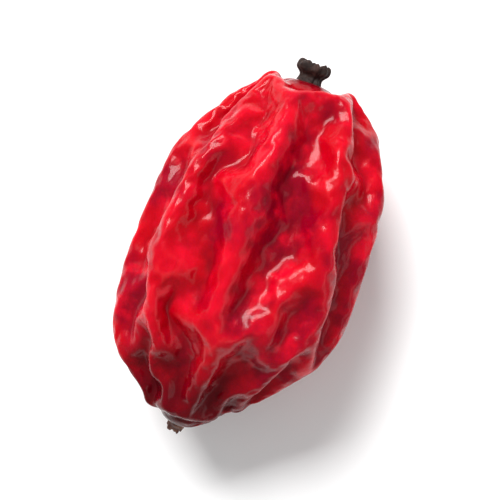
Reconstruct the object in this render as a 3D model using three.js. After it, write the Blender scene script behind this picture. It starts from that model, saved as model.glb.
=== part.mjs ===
// A single dried barberry, lying on its side on a table.
//
// The fruit is one grown piece: a plump, oblong berry whose skin has shrunk into lengthwise ridges, creases
// and hollows. Two small pieces sit on its ends: the dark, dried stigma that stays on the tip of every
// barberry, and the short stub of the stalk that it was picked from.
//
// Units are millimetres. Y is the berry's long axis, from the stalk end to the stigma end, and Z is up. The
// berry rests on a small flat spot at z = 0, with its box centred on the Z axis.

import * as THREE from "three";
import { mergeVertices } from "three/addons/utils/BufferGeometryUtils.js";

// Driving dimensions of the fruit.
const FRUIT_LENGTH = 7.77;
const FRUIT_WIDTH = 4.9;
const HEIGHT_ABOVE_AXIS = 2.0;
const DEPTH_BELOW_AXIS = 1.85;
const REST_DEPTH = 1.75; // the flat spot is this far below the axis
const MESH_DETAIL = 19; // how often each edge of the starting icosahedron is split

// Driving dimensions of the pieces on its ends.
const STIGMA_RADIUS = 0.38;
const STIGMA_NECK_RADIUS = 0.29;
const STIGMA_NECK_LENGTH = 0.14;
const STIGMA_THICKNESS = 0.27;
const STALK_RADIUS = 0.21;
const STALK_LENGTH = 0.21;
const SEAT_GAP = 0.01; // between each end piece and the fruit

// How the fruit's section changes along its axis, as shares of the driving dimensions. "along" is -1 at the
// stalk end and 1 at the stigma end. A section of 1 all along is an ellipsoid.
const SECTIONS = [
  // along, centre's shift in X (mm), width, height, depth
  [-1.0, -0.41, 0.84, 0.72, 0.76],
  [-0.8, -0.37, 0.96, 0.84, 0.88],
  [-0.5, -0.25, 1.05, 0.94, 0.97],
  [-0.2, -0.11, 1.005, 1.0, 1.0],
  [0.15, -0.08, 0.98, 1.0, 1.0],
  [0.5, 0.0, 1.055, 1.0, 1.02],
  [0.8, 0.03, 1.03, 0.98, 1.0],
  [1.0, -0.02, 1.2, 0.95, 0.92],
];

// Folds of the skin. Each runs through its points, given as [place along the axis in mm, turn in degrees],
// where turn 0 is the top, 90 the right side, -90 the left side and 180 the underside. A ridge stands out by
// its height; a crease has a negative height. Width is how far the fold reaches to either side.
const FOLDS = [
  // The top.
  { height: 0.24, width: 0.46, path: [[2.9, -10], [1.6, -13], [0.6, -13], [-0.5, -10]] },
  { height: 0.24, width: 0.48, path: [[3.2, 30], [2.4, 30], [1.5, 29], [0.4, 36]] },
  { height: 0.22, width: 0.52, path: [[2.6, -44], [1.3, -42], [0.2, -45], [-0.6, -50]] },
  { height: 0.26, width: 0.52, path: [[-0.8, -40], [-1.4, -36], [-2.2, -32]] },
  { height: 0.22, width: 0.42, path: [[-1.6, -20], [-1.8, -8], [-1.8, 8]] },
  { height: 0.24, width: 0.46, path: [[-0.2, 34], [-0.6, 44], [-1.4, 42], [-1.7, 26], [-1.1, 16]] },
  { height: 0.16, width: 0.42, path: [[-2.4, 4], [-3.0, 0], [-3.5, -6]] },
  { height: -0.26, width: 0.44, path: [[2.6, -26], [1.6, -28], [0.6, -29], [-0.2, -26]] },
  { height: -0.3, width: 0.46, path: [[2.9, 10], [1.9, 12], [0.9, 16], [-0.1, 14], [-0.8, 6]] },
  { height: -0.26, width: 0.38, path: [[-0.4, -17], [-1.0, -22], [-1.8, -25], [-2.7, -18]] },
  { height: -0.14, width: 0.44, path: [[-2.4, -10], [-2.5, 6], [-2.3, 22]] },
  { height: -0.2, width: 0.32, path: [[-0.9, 29], [-1.1, 32]] },
  // The right side.
  { height: 0.12, width: 0.5, path: [[2.9, 74], [1.9, 70], [0.9, 68], [-0.4, 72], [-1.8, 68]] },
  { height: 0.12, width: 0.5, path: [[2.2, 108], [0.9, 104], [-0.3, 110], [-1.9, 104]] },
  { height: -0.2, width: 0.42, path: [[3.0, 54], [2.0, 50], [1.0, 50], [0.1, 56], [-0.9, 60]] },
  { height: -0.16, width: 0.44, path: [[2.4, 90], [1.2, 87], [0.3, 90], [-0.9, 92], [-2.2, 86]] },
  { height: -0.14, width: 0.44, path: [[1.8, 128], [0.2, 126], [-1.4, 130]] },
  // The left side.
  { height: 0.12, width: 0.5, path: [[2.4, -78], [1.1, -76], [-0.4, -82], [-1.9, -74], [-2.8, -66]] },
  { height: 0.12, width: 0.5, path: [[1.8, -116], [0.4, -110], [-1.1, -114], [-2.3, -108]] },
  { height: -0.18, width: 0.42, path: [[2.3, -61], [1.0, -60], [-0.3, -66], [-1.4, -58], [-2.5, -50]] },
  { height: -0.16, width: 0.44, path: [[2.2, -98], [0.8, -94], [-0.7, -99], [-2.1, -92]] },
  { height: -0.14, width: 0.44, path: [[1.6, -136], [0.1, -132], [-1.6, -134]] },
  // The underside.
  { height: -0.14, width: 0.44, path: [[3.0, 168], [2.1, 158], [1.2, 146]] },
  { height: -0.14, width: 0.44, path: [[-1.8, 150], [-2.5, 162], [-3.2, 176]] },
  { height: -0.14, width: 0.44, path: [[2.8, -152], [2.1, -164], [1.7, -178]] },
  { height: -0.14, width: 0.44, path: [[-1.7, -150], [-2.4, -160], [-3.0, -166]] },
  // The end that the stalk has drawn out.
  { height: 0.16, width: 0.5, path: [[-3.87, -100], [-3.87, 100]] },
];

// Broad hollows where the flesh has sunk: place along the axis in mm, turn in degrees, radius and depth in mm.
const HOLLOWS = [
  { place: [0.4, 8], radius: 1.3, depth: 0.12 },
  { place: [-2.7, 14], radius: 1.0, depth: 0.1 },
  { place: [0.5, 92], radius: 0.6, depth: 0.12 },
  { place: [2.6, -62], radius: 0.8, depth: 0.12 },
  { place: [-2.5, 110], radius: 1.0, depth: 0.12 },
  { place: [2.1, 150], radius: 0.9, depth: 0.12 },
  { place: [-0.2, -100], radius: 0.9, depth: 0.06 },
];

const HALF_LENGTH = FRUIT_LENGTH / 2;
const HALF_WIDTH = FRUIT_WIDTH / 2;
const UP = new THREE.Vector3(0, 0, 1);

const sections = new THREE.CubicInterpolant(
  SECTIONS.map((row) => row[0]),
  SECTIONS.flatMap((row) => row.slice(1)),
  SECTIONS[0].length - 1,
);

// The point of the unwrinkled skin at a place along the axis, from -1 to 1, and a turn about it in radians.
function smoothSkin(along, turn) {
  const [shift, width, height, depth] = sections.evaluate(along);
  const girth = Math.sqrt(Math.max(0, 1 - along * along));
  const upDown = Math.cos(turn);
  const reach = upDown > 0 ? height * HEIGHT_ABOVE_AXIS : depth * DEPTH_BELOW_AXIS;
  return new THREE.Vector3(
    shift + HALF_WIDTH * width * girth * Math.sin(turn),
    HALF_LENGTH * along,
    reach * girth * upDown,
  );
}

function placeOnSkin([y, degrees]) {
  return smoothSkin(y / HALF_LENGTH, THREE.MathUtils.degToRad(degrees));
}

// How far the skin is pushed out, or in, at a point of the smooth skin.
function makeRelief() {
  const stepsPerFold = 32;
  const folds = FOLDS.map(({ height, width, path }) => {
    const route = new THREE.CatmullRomCurve3(path.map(placeOnSkin));
    return { height, width, points: route.getSpacedPoints(stepsPerFold) };
  });
  const hollows = HOLLOWS.map(({ place, radius, depth }) => ({ centre: placeOnSkin(place), radius, depth }));

  return (point) => {
    let relief = 0;
    for (const { height, width, points } of folds) {
      const away = Math.min(...points.map((p) => p.distanceTo(point))) / width;
      relief += height * Math.exp(-away * away);
    }
    for (const { centre, radius, depth } of hollows) {
      const away = centre.distanceTo(point) / radius;
      relief -= depth * Math.exp(-away * away);
    }
    return relief;
  };
}

// Moves every vertex that lies beyond a plane back onto it, which leaves a flat face there.
function pressFlat(geometry, plane) {
  const position = geometry.attributes.position;
  const point = new THREE.Vector3();
  for (let i = 0; i < position.count; i++) {
    point.fromBufferAttribute(position, i);
    if (plane.distanceToPoint(point) > 0) {
      plane.projectPoint(point, point);
      position.setXYZ(i, point.x, point.y, point.z);
    }
  }
}

// The places where the end pieces sit: a point inside the end of the fruit, and the way out of it.
const stigmaSeat = {
  centre: new THREE.Vector3(-0.05, HALF_LENGTH - 0.1, 0.12),
  out: new THREE.Vector3(0.02, 1, 0.12).normalize(),
};
const stalkSeat = {
  centre: new THREE.Vector3(-0.44, -HALF_LENGTH - 0.04, -0.15),
  out: new THREE.Vector3(-0.12, -1, -0.45).normalize(),
};

function makeFruit() {
  const ball = new THREE.IcosahedronGeometry(1, MESH_DETAIL);
  ball.deleteAttribute("normal");
  ball.deleteAttribute("uv");
  const geometry = mergeVertices(ball, 1e-5);
  const position = geometry.attributes.position;
  const point = new THREE.Vector3();

  for (let i = 0; i < position.count; i++) {
    point.fromBufferAttribute(position, i).normalize();
    const skin = smoothSkin(point.y, Math.atan2(point.x, point.z));
    position.setXYZ(i, skin.x, skin.y, skin.z);
  }

  geometry.computeVertexNormals();
  const normals = geometry.attributes.normal.clone();
  const relief = makeRelief();
  const normal = new THREE.Vector3();
  for (let i = 0; i < position.count; i++) {
    point.fromBufferAttribute(position, i);
    normal.fromBufferAttribute(normals, i);
    point.addScaledVector(normal, relief(point));
    position.setXYZ(i, point.x, point.y, point.z);
  }

  for (const { centre, out } of [stigmaSeat, stalkSeat])
    pressFlat(geometry, new THREE.Plane().setFromNormalAndCoplanarPoint(out, centre));
  pressFlat(geometry, new THREE.Plane(UP.clone().negate(), -REST_DEPTH));
  geometry.computeVertexNormals();
  return geometry;
}

// The dried stigma: a short neck that widens into a small disc with a rolled rim and a sunken middle.
function makeStigma() {
  const top = STIGMA_NECK_LENGTH + STIGMA_THICKNESS;
  const outline = new THREE.SplineCurve([
    new THREE.Vector2(STIGMA_NECK_RADIUS, 0),
    new THREE.Vector2(STIGMA_NECK_RADIUS * 0.92, STIGMA_NECK_LENGTH * 0.6),
    new THREE.Vector2(STIGMA_RADIUS * 0.86, STIGMA_NECK_LENGTH * 1.15),
    new THREE.Vector2(STIGMA_RADIUS, STIGMA_NECK_LENGTH + STIGMA_THICKNESS * 0.45),
    new THREE.Vector2(STIGMA_RADIUS * 0.84, top * 0.97),
    new THREE.Vector2(STIGMA_RADIUS * 0.6, top),
    new THREE.Vector2(STIGMA_RADIUS * 0.3, top - STIGMA_THICKNESS * 0.4),
  ]);
  const onAxis = [new THREE.Vector2(0, 0)];
  const middle = [new THREE.Vector2(0, top - STIGMA_THICKNESS * 0.45)];
  return new THREE.LatheGeometry([...onAxis, ...outline.getPoints(14), ...middle], 20);
}

// The stub of the stalk: a short broken stem, flared where it joins the fruit.
function makeStalk() {
  return new THREE.LatheGeometry(
    [
      new THREE.Vector2(0, 0),
      new THREE.Vector2(STALK_RADIUS * 1.25, 0),
      new THREE.Vector2(STALK_RADIUS * 1.05, STALK_LENGTH * 0.25),
      new THREE.Vector2(STALK_RADIUS * 0.92, STALK_LENGTH * 0.6),
      new THREE.Vector2(STALK_RADIUS * 0.95, STALK_LENGTH),
      new THREE.Vector2(STALK_RADIUS * 0.55, STALK_LENGTH * 0.86),
      new THREE.Vector2(0, STALK_LENGTH * 0.8),
    ],
    18,
  );
}

// Stands a turned piece on its seat, with its own Y axis pointing out of the fruit.
function seat(mesh, { centre, out }) {
  mesh.quaternion.setFromUnitVectors(new THREE.Vector3(0, 1, 0), out);
  mesh.position.copy(centre).addScaledVector(out, SEAT_GAP);
  return mesh;
}

function makeMesh(name, geometry, color, roughness) {
  const mesh = new THREE.Mesh(geometry, new THREE.MeshStandardMaterial({ color, roughness, metalness: 0 }));
  mesh.name = name;
  return mesh;
}

const barberry = new THREE.Group();
barberry.add(
  makeMesh("berry", makeFruit(), 0xb0101c, 0.35),
  seat(makeMesh("stigma", makeStigma(), 0x2a100c, 0.7), stigmaSeat),
  seat(makeMesh("stalk_stub", makeStalk(), 0x4a2418, 0.8), stalkSeat),
);

// Puts the flat spot on z = 0 and centres the box of all three pieces on the Z axis.
const box = new THREE.Box3().setFromObject(barberry, true);
barberry.position.set(-(box.min.x + box.max.x) / 2, -(box.min.y + box.max.y) / 2, -box.min.z);

export default barberry;
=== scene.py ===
import math

import bmesh
import bpy
import numpy as np
from mathutils import Matrix, Vector, noise
from mathutils.bvhtree import BVHTree


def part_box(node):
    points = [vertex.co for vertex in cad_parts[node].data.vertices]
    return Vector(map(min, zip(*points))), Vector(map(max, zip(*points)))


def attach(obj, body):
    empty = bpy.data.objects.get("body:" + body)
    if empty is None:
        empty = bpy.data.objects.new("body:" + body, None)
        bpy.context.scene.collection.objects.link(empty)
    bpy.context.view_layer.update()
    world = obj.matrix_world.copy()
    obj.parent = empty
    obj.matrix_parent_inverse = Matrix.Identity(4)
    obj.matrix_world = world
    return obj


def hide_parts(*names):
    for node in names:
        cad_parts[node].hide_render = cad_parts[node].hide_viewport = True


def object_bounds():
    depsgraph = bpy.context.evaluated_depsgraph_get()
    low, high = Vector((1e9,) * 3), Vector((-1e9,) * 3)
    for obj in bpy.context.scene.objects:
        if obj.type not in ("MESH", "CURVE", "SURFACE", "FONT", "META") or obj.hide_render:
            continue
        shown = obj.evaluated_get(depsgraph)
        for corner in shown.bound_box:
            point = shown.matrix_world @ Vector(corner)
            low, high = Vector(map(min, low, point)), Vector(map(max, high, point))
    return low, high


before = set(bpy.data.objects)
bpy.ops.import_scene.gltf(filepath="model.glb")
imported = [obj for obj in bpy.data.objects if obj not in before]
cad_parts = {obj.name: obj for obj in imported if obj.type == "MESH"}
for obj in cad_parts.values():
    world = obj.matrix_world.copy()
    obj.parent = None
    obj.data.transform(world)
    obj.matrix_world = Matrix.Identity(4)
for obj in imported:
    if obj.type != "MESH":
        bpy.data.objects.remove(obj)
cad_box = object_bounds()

# ---------------------------------------------------------------------------------------------------------
# Driving dimensions, in metres unless a name says otherwise.

MM = 0.001
BENCH = 1 / MM  # the skin is dried at a thousand times its size, where cloth behaves well, then scaled back

FRUIT_LOW, FRUIT_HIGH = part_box("berry")
FRUIT_CENTRE = (FRUIT_LOW + FRUIT_HIGH) / 2
FRUIT_SIZE = FRUIT_HIGH - FRUIT_LOW

SEATED_PIECES = ("stigma", "stalk_stub")

BALL_REACH = 1.25  # the ball of skin starts this much larger than the berry
BALL_LEVELS = 5  # 6,146 corners
FLESH_SMOOTHING = 6  # evens out the facets of the dried form
SWELL_SMOOTHING = 30  # takes the folds out of the fresh berry
FLESH_INSET = 0.1 * MM  # the dried flesh lies this far under the finished skin's outside
GRIP = 0.3  # how firmly the skin clings to the flesh, from 0 to 1
SEAT_RADIUS = 0.3 * MM  # round the stigma and the stalk the skin is held fast, out to here
SEAT_FADE = 0.5 * MM  # and its hold falls off over this distance
PRESS = 0.08 * MM  # how far the berry's own weight has pressed the folds it rests on

# The skin dries twice: stiff, for the broad folds, then with four times the corners, for the small wrinkles.
# swell: how much plumper it starts. pin: how hard the flesh draws it in. bend: how stiff it is.
BROAD_DRYING = {"swell": (1.16, 1.02, 1.16), "pin": 12, "bend": 60, "frames": 25, "rest_frames": 15}
SMALL_DRYING = {"swell": (1.035, 1.02, 1.035), "pin": 4, "bend": 1.5, "frames": 12, "rest_frames": 8}
SKIN_STIFFNESS = 15

EASING_PASSES = 30
EASING_RINGS = 3  # how far round a closed pleat the skin is smoothed
EASING_STEPS = 5  # of smoothing, in each pass

# How far a point stands out from its smoothed surroundings when it counts as a full crest or crease.
FINE_FOLD, FINE_SMOOTHING = 0.03 * MM, 12
BROAD_FOLD, BROAD_SMOOTHING = 0.15 * MM, 150
END_DARKENING = {"stigma": 1.0 * MM, "stalk_stub": 3.0 * MM}  # how far the skin is dark round each

MAROON = (0.09, 0.0, 0.003)
DEEP_RED = (0.23, 0.0, 0.01)
RUBY = (0.42, 0.0, 0.006)
BRIGHT_RED = (0.58, 0.002, 0.016)
# Salmon: the skin's own dry patches, and a painted highlight along the crests.
SALMON_DRY_PATCH_AND_HIGHLIGHT = (0.9, 0.11, 0.1)
DRY_END = (0.05, 0.006, 0.004)

STIGMA_WAY = (0.02, 1, 0.12)  # the way each small piece points out of the fruit
STALK_WAY = (-0.12, -1, -0.45)
STIGMA_SIDES, STALK_SIDES = 48, 36

# Radius and height of each ring, in millimetres, from the base up and over the rim to the middle.
STIGMA_RINGS = [
    (0.3, -0.12),
    (0.285, -0.02),
    (0.25, 0.06),
    (0.255, 0.13),
    (0.31, 0.18),
    (0.365, 0.23),
    (0.38, 0.3),
    (0.362, 0.355),
    (0.315, 0.395),
    (0.26, 0.4),
    (0.2, 0.36),
    (0.13, 0.325),
    (0.06, 0.335),
    (0.015, 0.34),
]
STALK_RINGS = [
    (0.24, -0.12),
    (0.25, -0.02),
    (0.215, 0.03),
    (0.19, 0.075),
    (0.18, 0.12),
    (0.185, 0.16),
    (0.18, 0.19),
    (0.15, 0.2),
    (0.1, 0.18),
    (0.05, 0.17),
    (0.012, 0.165),
]

LEAN = math.radians(18.4)  # seen from above, the berry's tip leans this far to the right
CAMERA_LENS = 90  # in millimetres
CAMERA_HEIGHT = 0.0265  # above the middle of the berry
LIGHT_DISTANCE = 0.25
FLOOR_SIZE = 0.6


# ---------------------------------------------------------------------------------------------------------
# Small tools of the bench.


def deselect_all():
    bpy.ops.object.select_all(action="DESELECT")


def pick(piece):
    deselect_all()
    piece.select_set(True)
    bpy.context.view_layer.objects.active = piece


def points_of(mesh):
    points = np.empty(len(mesh.vertices) * 3, np.float32)
    mesh.vertices.foreach_get("co", points)
    return points.reshape(-1, 3).astype(float)


def set_points(mesh, points):
    mesh.vertices.foreach_set("co", points.astype(np.float32).ravel())
    mesh.update()


def centre_of(node):
    low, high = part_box(node)
    return (low + high) / 2


def apply_subdivision(piece, levels):
    pick(piece)
    bpy.ops.object.modifier_add(type="SUBSURF")
    piece.modifiers[-1].levels = levels
    bpy.ops.object.modifier_apply(modifier=piece.modifiers[-1].name)


def run_cloth(cloth_piece, frames):
    """Plays the cloth to its last frame and keeps the shape it has there."""
    scene = bpy.context.scene
    scene.frame_start, scene.frame_end = 1, frames
    for number in range(1, frames + 1):
        scene.frame_set(number)
    pick(cloth_piece)
    bpy.ops.object.convert(target="MESH")
    scene.frame_set(1)


# ---------------------------------------------------------------------------------------------------------
# The skin.


def dried_flesh():
    """The berry's dried form at bench size, as one joined and evened-out mesh."""
    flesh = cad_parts["berry"].copy()
    flesh.data = flesh.data.copy()
    bpy.context.scene.collection.objects.link(flesh)
    for tag in [key for key in flesh.keys() if key.startswith("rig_")]:
        del flesh[tag]
    flesh.parent = None
    flesh.hide_render = True
    flesh.name = "flesh"
    flesh.data.transform(Matrix.Scale(BENCH, 4) @ Matrix.Translation(-FRUIT_CENTRE))
    pick(flesh)
    bpy.ops.object.mode_set(mode="EDIT")
    bpy.ops.mesh.select_all(action="SELECT")
    bpy.ops.mesh.remove_doubles(threshold=0.001)
    bpy.ops.mesh.vertices_smooth(factor=0.5, repeat=2)
    bpy.ops.object.mode_set(mode="OBJECT")
    return flesh


def ball_of_skin():
    """A ball of even quads round the berry, at bench size."""
    deselect_all()
    bpy.ops.mesh.primitive_cube_add(size=2)
    skin = bpy.context.object
    skin.name = "berry_skin"
    apply_subdivision(skin, BALL_LEVELS)
    bpy.ops.object.mode_set(mode="EDIT")
    bpy.ops.mesh.select_all(action="SELECT")
    bpy.ops.transform.tosphere(value=1)
    bpy.ops.object.mode_set(mode="OBJECT")
    points = points_of(skin.data)
    points /= np.linalg.norm(points, axis=1)[:, None]
    set_points(skin.data, points * BENCH * np.array(FRUIT_SIZE) * BALL_REACH / 2)
    return skin


def draw_on(skin, flesh):
    """Shrinks the ball of skin on to the flesh."""
    pick(skin)
    wrap = skin.modifiers.new("wrap", "SHRINKWRAP")
    wrap.target = flesh
    wrap.wrap_method = "PROJECT"
    wrap.use_negative_direction = True
    wrap.use_positive_direction = False
    bpy.ops.object.modifier_apply(modifier=wrap.name)


def smooth_all(piece, repeats):
    pick(piece)
    bpy.ops.object.mode_set(mode="EDIT")
    bpy.ops.mesh.select_all(action="SELECT")
    bpy.ops.mesh.vertices_smooth(factor=0.5, repeat=repeats)
    bpy.ops.object.mode_set(mode="OBJECT")


def normals_of(mesh):
    normals = np.empty(len(mesh.vertices) * 3, np.float32)
    mesh.vertex_normals.foreach_get("vector", normals)
    return normals.reshape(-1, 3).astype(float)


def grip(points):
    """How firmly each point of the skin is held: fast at both ends, where the stigma and the stalk grow."""
    firm = np.full(len(points), GRIP)
    for node in SEATED_PIECES:
        seat = (centre_of(node) - FRUIT_CENTRE) * BENCH
        away = np.linalg.norm(points - np.array(seat), axis=1)
        share = np.clip((away - SEAT_RADIUS * BENCH) / (SEAT_FADE * BENCH), 0, 1)
        firm = np.maximum(firm, 1 - share * (1 - GRIP))
    return firm


def looseness(hold):
    """How freely each point may move: 0 where the skin is held fast, 1 where it is held least."""
    return (1 - hold) / (1 - GRIP)


def dry(skin, dried_points, hold, drying):
    """Draws the flesh in under the skin, which keeps its area and so creases."""
    skin.shape_key_add(name="fresh")
    key = skin.shape_key_add(name="dried")
    key.data.foreach_set("co", dried_points.astype(np.float32).ravel())
    key.value = 0
    key.keyframe_insert("value", frame=1)
    key.value = 1
    key.keyframe_insert("value", frame=drying["frames"])
    group = skin.vertex_groups.new(name="held")
    for index, weight in enumerate(hold):
        group.add([index], float(weight), "REPLACE")
    cloth = skin.modifiers.new("skin", "CLOTH")
    s = cloth.settings
    s.quality = 5
    s.mass = 0.3
    s.air_damping = 1
    s.tension_stiffness = s.compression_stiffness = s.shear_stiffness = SKIN_STIFFNESS
    s.tension_damping = s.compression_damping = s.shear_damping = 5
    s.bending_stiffness = drying["bend"]
    s.bending_damping = 0.5
    s.vertex_group_mass = "held"
    s.pin_stiffness = drying["pin"]
    s.effector_weights.gravity = 0
    cloth.collision_settings.use_collision = False
    cloth.point_cache.frame_start = 1
    last_frame = drying["frames"] + drying["rest_frames"]
    cloth.point_cache.frame_end = last_frame
    run_cloth(skin, last_frame)
    skin.vertex_groups.clear()


def ease_pleats(piece):
    """Smooths the few pleats that have closed so far that the skin would pass through itself."""
    for _ in range(EASING_PASSES):
        skin = bmesh.new()
        skin.from_mesh(piece.data)
        skin.faces.ensure_lookup_table()
        tree = BVHTree.FromBMesh(skin)
        caught = set()
        for a, b in tree.overlap(tree):
            corners_a, corners_b = set(skin.faces[a].verts), set(skin.faces[b].verts)
            if not corners_a & corners_b:
                caught |= corners_a | corners_b
        for _ in range(EASING_RINGS):
            caught |= {edge.other_vert(corner) for corner in caught for edge in corner.link_edges}
        for _ in range(EASING_STEPS if caught else 0):
            bmesh.ops.smooth_vert(
                skin, verts=list(caught), factor=0.5, use_axis_x=True, use_axis_y=True, use_axis_z=True
            )
        skin.to_mesh(piece.data)
        skin.free()
        if not caught:
            return


def fitted(points):
    """The skin's points, carried from the bench and drawn to the width and the height of the berry."""
    low, high = points.min(0), points.max(0)
    fit = (points - (low + high) / 2) / (high - low) * np.array(FRUIT_SIZE)
    points = points * MM
    points[:, 0] = fit[:, 0]
    points[:, 2] = fit[:, 2]
    return points + np.array(FRUIT_CENTRE)


def make_berry():
    flesh = dried_flesh()
    skin = ball_of_skin()
    draw_on(skin, flesh)
    bpy.data.objects.remove(flesh)
    smooth_all(skin, FLESH_SMOOTHING)
    outer = points_of(skin.data)
    hold = grip(outer)
    loose = looseness(hold)
    dried = outer - normals_of(skin.data) * (loose * FLESH_INSET * BENCH)[:, None]
    smooth_all(skin, SWELL_SMOOTHING)
    plump = points_of(skin.data) * np.array(BROAD_DRYING["swell"])
    set_points(skin.data, outer + (plump - outer) * loose[:, None])
    dry(skin, dried, hold, BROAD_DRYING)
    apply_subdivision(skin, 1)
    points = points_of(skin.data)
    hold = grip(points)
    growth = looseness(hold)[:, None] * (np.array(SMALL_DRYING["swell"]) - 1)
    set_points(skin.data, points * (1 + growth))
    dry(skin, points, hold, SMALL_DRYING)
    ease_pleats(skin)
    apply_subdivision(skin, 1)
    points = fitted(points_of(skin.data))
    z = points[:, 2]
    points[:, 2] = np.maximum(z + (z - FRUIT_HIGH.z) / FRUIT_SIZE.z * PRESS, FRUIT_LOW.z)
    set_points(skin.data, points)
    bpy.ops.object.shade_smooth()
    return skin


def smoothed(mesh, points, repeats):
    """The same points after each has moved towards the middle of its neighbours, again and again."""
    ends = np.empty(len(mesh.edges) * 2, np.int32)
    mesh.edges.foreach_get("vertices", ends)
    a, b = ends.reshape(-1, 2).T
    count = np.bincount(a, minlength=len(points)) + np.bincount(b, minlength=len(points))
    for _ in range(repeats):
        around = np.empty_like(points)
        for axis in range(3):
            around[:, axis] = np.bincount(a, points[b, axis], len(points))
            around[:, axis] += np.bincount(b, points[a, axis], len(points))
        points = 0.5 * points + 0.5 * around / count[:, None]
    return points


def mark(mesh, name, values):
    layer = mesh.attributes.new(name, "FLOAT", "POINT")
    layer.data.foreach_set("value", values.astype(np.float32))


def mark_folds(berry):
    """Notes how far each point stands out as a crest, or lies in a crease: 0.5 is neither."""
    mesh = berry.data
    points, normals = points_of(mesh), normals_of(mesh)
    for name, full, repeats in (
        ("fine_fold", FINE_FOLD, FINE_SMOOTHING),
        ("broad_fold", BROAD_FOLD, BROAD_SMOOTHING),
    ):
        height = ((points - smoothed(mesh, points, repeats)) * normals).sum(1)
        mark(mesh, name, np.clip(0.5 + height / (2 * full), 0, 1))
    ends = np.zeros(len(points))
    for node, reach in END_DARKENING.items():
        away = np.linalg.norm(points - np.array(centre_of(node)), axis=1)
        ends = np.maximum(ends, np.clip(1 - away / reach, 0, 1))
    mark(mesh, "end", ends)


# ---------------------------------------------------------------------------------------------------------
# The two small pieces on the berry's ends. They are made upright at bench size, then carried to their seats.


def carry_to_seat(piece, node, way):
    """Takes a piece from the bench to where its CAD node stands on the fruit."""
    points = points_of(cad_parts[node].data)
    out = Vector(way).normalized()
    heights = points @ np.array(out)
    middle = Vector(points.mean(0))
    base = middle + out * (heights.min() - middle.dot(out))
    turn = Vector((0, 0, 1)).rotation_difference(out).to_matrix().to_4x4()
    piece.data.transform(Matrix.Translation(base) @ turn @ Matrix.Scale(MM, 4))


def draw_up(name, rings, sides):
    """A round piece drawn up ring by ring, from its base to the middle of its top."""
    deselect_all()
    radius, height = rings[0]
    bpy.ops.mesh.primitive_circle_add(
        vertices=sides, radius=radius, location=(0, 0, height), fill_type="NGON"
    )
    piece = bpy.context.object
    piece.name = name
    bpy.ops.object.transform_apply(location=True)
    bpy.ops.object.mode_set(mode="EDIT")
    bpy.ops.mesh.select_mode(type="FACE")
    bpy.ops.mesh.select_all(action="SELECT")
    for next_radius, next_height in rings[1:]:
        bpy.ops.mesh.extrude_region_move(TRANSFORM_OT_translate={"value": (0, 0, next_height - height)})
        share = next_radius / radius
        bpy.ops.transform.resize(value=(share, share, 1), center_override=(0, 0, next_height))
        radius, height = next_radius, next_height
    bpy.ops.mesh.poke()
    bpy.ops.mesh.select_all(action="SELECT")
    bpy.ops.mesh.normals_make_consistent(inside=False)
    bpy.ops.object.mode_set(mode="OBJECT")
    apply_subdivision(piece, 2)
    return piece


def shrivel(piece, furrows, depth, lump, ragged, ragged_from):
    """Dries a round piece: furrows up its side, lumps all over and a ragged top."""
    moved = []
    for point in map(Vector, points_of(piece.data)):
        radius, turn = math.hypot(point.x, point.y), math.atan2(point.y, point.x)
        outwards = Vector((math.cos(turn), math.sin(turn), 0))
        wander = noise.noise(outwards * 1.3 + Vector((0, 0, point.z * 2)))
        ripple = math.sin(furrows * turn + 4 * wander)
        lumps = noise.noise(point * 6)
        share = 1 + depth * ripple * min(1, radius / 0.15) + lump * lumps + 0.08 * wander
        rise = max(0, point.z - ragged_from)
        torn = noise.noise(outwards * 3.1 + Vector((radius * 5, 0, 7)))
        moved.append((point.x * share, point.y * share, point.z + rise * ragged * torn + 0.02 * lumps))
    set_points(piece.data, np.array(moved))


def make_stigma():
    stigma = draw_up("dried_stigma", STIGMA_RINGS, STIGMA_SIDES)
    shrivel(stigma, furrows=11, depth=0.05, lump=0.07, ragged=0.8, ragged_from=0.28)
    carry_to_seat(stigma, "stigma", STIGMA_WAY)
    pick(stigma)
    bpy.ops.object.shade_smooth()
    return stigma


def make_stalk():
    stalk = draw_up("dried_stalk", STALK_RINGS, STALK_SIDES)
    shrivel(stalk, furrows=8, depth=0.07, lump=0.1, ragged=1.4, ragged_from=0.11)
    carry_to_seat(stalk, "stalk_stub", STALK_WAY)
    pick(stalk)
    bpy.ops.object.shade_smooth()
    return stalk


# ---------------------------------------------------------------------------------------------------------
# The finishes.


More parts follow.
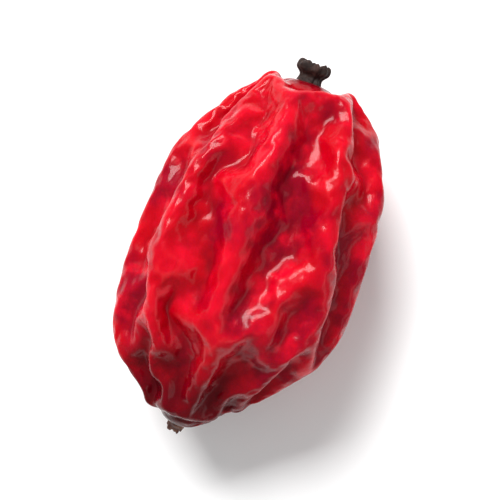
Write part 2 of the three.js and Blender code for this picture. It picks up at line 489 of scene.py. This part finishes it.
class Finish:
    """A material's node tree, with short calls for what is used often."""

    def __init__(self, name):
        self.mat = bpy.data.materials.new(name)
        self.mat.use_nodes = True
        self.nodes, self.links = self.mat.node_tree.nodes, self.mat.node_tree.links
        self.shader = self.nodes["Principled BSDF"]
        place = self.nodes.new("ShaderNodeTexCoord")
        self.place = place.outputs["Object"]

    def put(self, socket, value):
        if isinstance(value, bpy.types.NodeSocket):
            self.links.new(value, socket)
        else:
            socket.default_value = value

    def set(self, **values):
        for name, value in values.items():
            self.put(self.shader.inputs[name.replace("_", " ")], value)

    def mapped(self, scale):
        node = self.nodes.new("ShaderNodeMapping")
        self.put(node.inputs["Vector"], self.place)
        node.inputs["Scale"].default_value = scale
        return node.outputs["Vector"]

    def noise(self, per_mm, detail=3, roughness=0.5, stretch=(1, 1, 1), distortion=0.0):
        node = self.nodes.new("ShaderNodeTexNoise")
        self.put(node.inputs["Vector"], self.mapped([share / MM for share in stretch]))
        node.inputs["Scale"].default_value = per_mm
        node.inputs["Detail"].default_value = detail
        node.inputs["Roughness"].default_value = roughness
        node.inputs["Distortion"].default_value = distortion
        return node.outputs["Fac"]

    def attribute(self, name):
        node = self.nodes.new("ShaderNodeAttribute")
        node.attribute_name = name
        return node.outputs["Fac"]

    def math(self, operation, *values):
        node = self.nodes.new("ShaderNodeMath")
        node.operation = operation
        for socket, value in zip(node.inputs, values):
            self.put(socket, value)
        return node.outputs["Value"]

    def stretch(self, value, low, high, to_low=0.0, to_high=1.0):
        node = self.nodes.new("ShaderNodeMapRange")
        node.interpolation_type = "SMOOTHSTEP"
        names = ("Value", "From Min", "From Max", "To Min", "To Max")
        for name, setting in zip(names, (value, low, high, to_low, to_high)):
            self.put(node.inputs[name], setting)
        return node.outputs["Result"]

    def blend(self, share, first, second):
        node = self.nodes.new("ShaderNodeMix")
        node.data_type = "RGBA"
        self.put(node.inputs["Factor"], share)
        for socket, value in zip(node.inputs[6:8], (first, second)):
            self.put(socket, (*value, 1) if isinstance(value, tuple) else value)
        return node.outputs[2]

    def bump(self, height, depth, below=None):
        node = self.nodes.new("ShaderNodeBump")
        node.inputs["Distance"].default_value = depth
        self.put(node.inputs["Height"], height)
        if below is not None:
            self.put(node.inputs["Normal"], below)
        return node.outputs["Normal"]


def skin_finish():
    f = Finish("berry_skin")
    clouds = f.noise(0.55, detail=2)
    blotches = f.noise(1.6, detail=4, roughness=0.55)
    colour = f.blend(f.stretch(clouds, 0.42, 0.58), DEEP_RED, RUBY)
    colour = f.blend(f.stretch(blotches, 0.42, 0.72), colour, BRIGHT_RED)
    broad, fine = f.attribute("broad_fold"), f.attribute("fine_fold")
    # Painted shade: the skin is darkened towards maroon in its broad creases.
    colour = f.blend(f.stretch(broad, 0.45, 0.05, 0, 0.8), colour, MAROON)
    # Painted light: the broad crests are lightened towards bright red, as if lit through the thin skin.
    colour = f.blend(f.stretch(broad, 0.55, 0.95, 0, 0.75), colour, BRIGHT_RED)
    # Painted shade: the fine creases are darkened towards maroon as well.
    colour = f.blend(f.stretch(fine, 0.45, 0.1, 0, 0.4), colour, MAROON)
    # Salmon on the fine crests, in patches: partly the skin's own dry patches, partly a painted highlight
    # along the crests.
    patches = f.stretch(f.noise(1.1, detail=5, roughness=0.6), 0.45, 0.7)
    dry = f.math("MULTIPLY", f.stretch(fine, 0.6, 1.0), patches)
    colour = f.blend(f.math("MULTIPLY", dry, 0.7), colour, SALMON_DRY_PATCH_AND_HIGHLIGHT)
    # Darker towards both ends: maroon out to each reach given above, and dry brown-black close to the stigma
    # and the stalk.
    ragged = f.math("MULTIPLY", f.math("SUBTRACT", blotches, 0.5), 0.5)
    end = f.math("ADD", f.attribute("end"), ragged)
    colour = f.blend(f.stretch(end, 0.06, 0.6, 0, 0.92), colour, MAROON)
    colour = f.blend(f.stretch(end, 0.65, 0.95), colour, DRY_END)
    roughness = f.stretch(f.noise(2.5, detail=4, roughness=0.6), 0.3, 0.7, 0.2, 0.34)
    roughness = f.math("ADD", roughness, f.math("MULTIPLY", dry, 0.2))
    wrinkles = f.noise(3.2, detail=4, roughness=0.55, stretch=(1, 0.35, 1), distortion=0.6)
    grain = f.noise(16, detail=3, roughness=0.6)
    normal = f.bump(wrinkles, 0.03 * MM)
    normal = f.bump(grain, 0.006 * MM, normal)
    f.set(Base_Color=colour, Roughness=roughness, Normal=normal, IOR=1.2, Specular_Tint=(1, 0.4, 0.42, 1))
    f.set(Subsurface_Weight=0.35, Subsurface_Radius=(1.0, 0.09, 0.07), Subsurface_Scale=0.45 * MM)
    f.set(Coat_Weight=0.4, Coat_Roughness=0.1, Coat_IOR=1.3)
    return f.mat


def stigma_finish():
    f = Finish("dried_stigma")
    patches = f.noise(5, detail=4, roughness=0.6)
    specks = f.noise(22, detail=3, roughness=0.7)
    colour = f.blend(f.stretch(patches, 0.35, 0.7), (0.01, 0.005, 0.004), (0.036, 0.014, 0.01))
    colour = f.blend(f.stretch(specks, 0.56, 0.75, 0, 0.5), colour, (0.11, 0.055, 0.035))
    normal = f.bump(f.noise(9, detail=5, roughness=0.65), 0.03 * MM)
    normal = f.bump(specks, 0.008 * MM, normal)
    roughness = f.stretch(specks, 0.3, 0.7, 0.55, 0.85)
    f.set(Base_Color=colour, Roughness=roughness, Normal=normal, IOR=1.35)
    return f.mat


def stalk_finish():
    f = Finish("dried_stalk")
    fibres = f.noise(14, detail=4, roughness=0.6, stretch=(1, 0.15, 1))
    patches = f.noise(4, detail=3)
    colour = f.blend(f.stretch(patches, 0.35, 0.65), (0.06, 0.014, 0.009), (0.17, 0.06, 0.03))
    colour = f.blend(f.stretch(fibres, 0.5, 0.72, 0, 0.7), colour, (0.3, 0.15, 0.075))
    normal = f.bump(fibres, 0.03 * MM)
    roughness = f.stretch(fibres, 0.3, 0.7, 0.6, 0.9)
    f.set(Base_Color=colour, Roughness=roughness, Normal=normal)
    return f.mat


# ---------------------------------------------------------------------------------------------------------
# The scene.


def softbox(name, towards, size, power, aim):
    """An oblong soft light that looks at aim from the given side."""
    light = bpy.data.lights.new(name, "AREA")
    light.shape = "RECTANGLE"
    light.size, light.size_y = size
    light.energy = power
    lamp = bpy.data.objects.new(name, light)
    bpy.context.scene.collection.objects.link(lamp)
    direction = Vector(towards).normalized()
    lamp.location = aim + direction * LIGHT_DISTANCE
    lamp.rotation_euler = (-direction).to_track_quat("-Z", "Y").to_euler()


def make_floor():
    deselect_all()
    bpy.ops.mesh.primitive_plane_add(size=FLOOR_SIZE)
    floor = bpy.context.object
    floor.name = "floor"
    mat = bpy.data.materials.new("pale_floor")
    mat.use_nodes = True
    shader = mat.node_tree.nodes["Principled BSDF"]
    shader.inputs["Base Color"].default_value = (0.93, 0.93, 0.93, 1)
    shader.inputs["Roughness"].default_value = 0.9
    floor.data.materials.append(mat)


def make_camera(aim):
    camera = bpy.data.cameras.new("camera")
    camera.lens = CAMERA_LENS
    camera.clip_start, camera.clip_end = 0.005, 2
    holder = bpy.data.objects.new("camera", camera)
    bpy.context.scene.collection.objects.link(holder)
    holder.location = aim + Vector((0, 0, CAMERA_HEIGHT))
    holder.rotation_euler = (0, 0, LEAN)
    bpy.context.scene.camera = holder


def light_scene(aim):
    up = Vector((-math.sin(LEAN), math.cos(LEAN), 0))
    right = Vector((math.cos(LEAN), math.sin(LEAN), 0))
    softbox("key", up * 0.88 - right * 0.35 + Vector((0, 0, 0.9)), (0.14, 0.1), 1.03, aim)
    softbox("fill", -up * 0.5 + right * 0.8 + Vector((0, 0, 0.7)), (0.2, 0.12), 0.12, aim)
    world = bpy.data.worlds.new("studio")
    bpy.context.scene.world = world
    world.use_nodes = True
    background = world.node_tree.nodes["Background"]
    background.inputs["Color"].default_value = (1, 1, 1, 1)
    background.inputs["Strength"].default_value = 0.43
    bpy.context.scene.view_settings.view_transform = "Standard"


def add_piece(piece, finish, node):
    piece.data.materials.clear()
    piece.data.materials.append(finish)
    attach(piece, "root")
    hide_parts(node)


berry = make_berry()
mark_folds(berry)
add_piece(berry, skin_finish(), "berry")
add_piece(make_stigma(), stigma_finish(), "stigma")
add_piece(make_stalk(), stalk_finish(), "stalk_stub")

make_floor()
centre = Vector((0, 0, cad_box[1].z / 2))
make_camera(centre)
light_scene(centre)
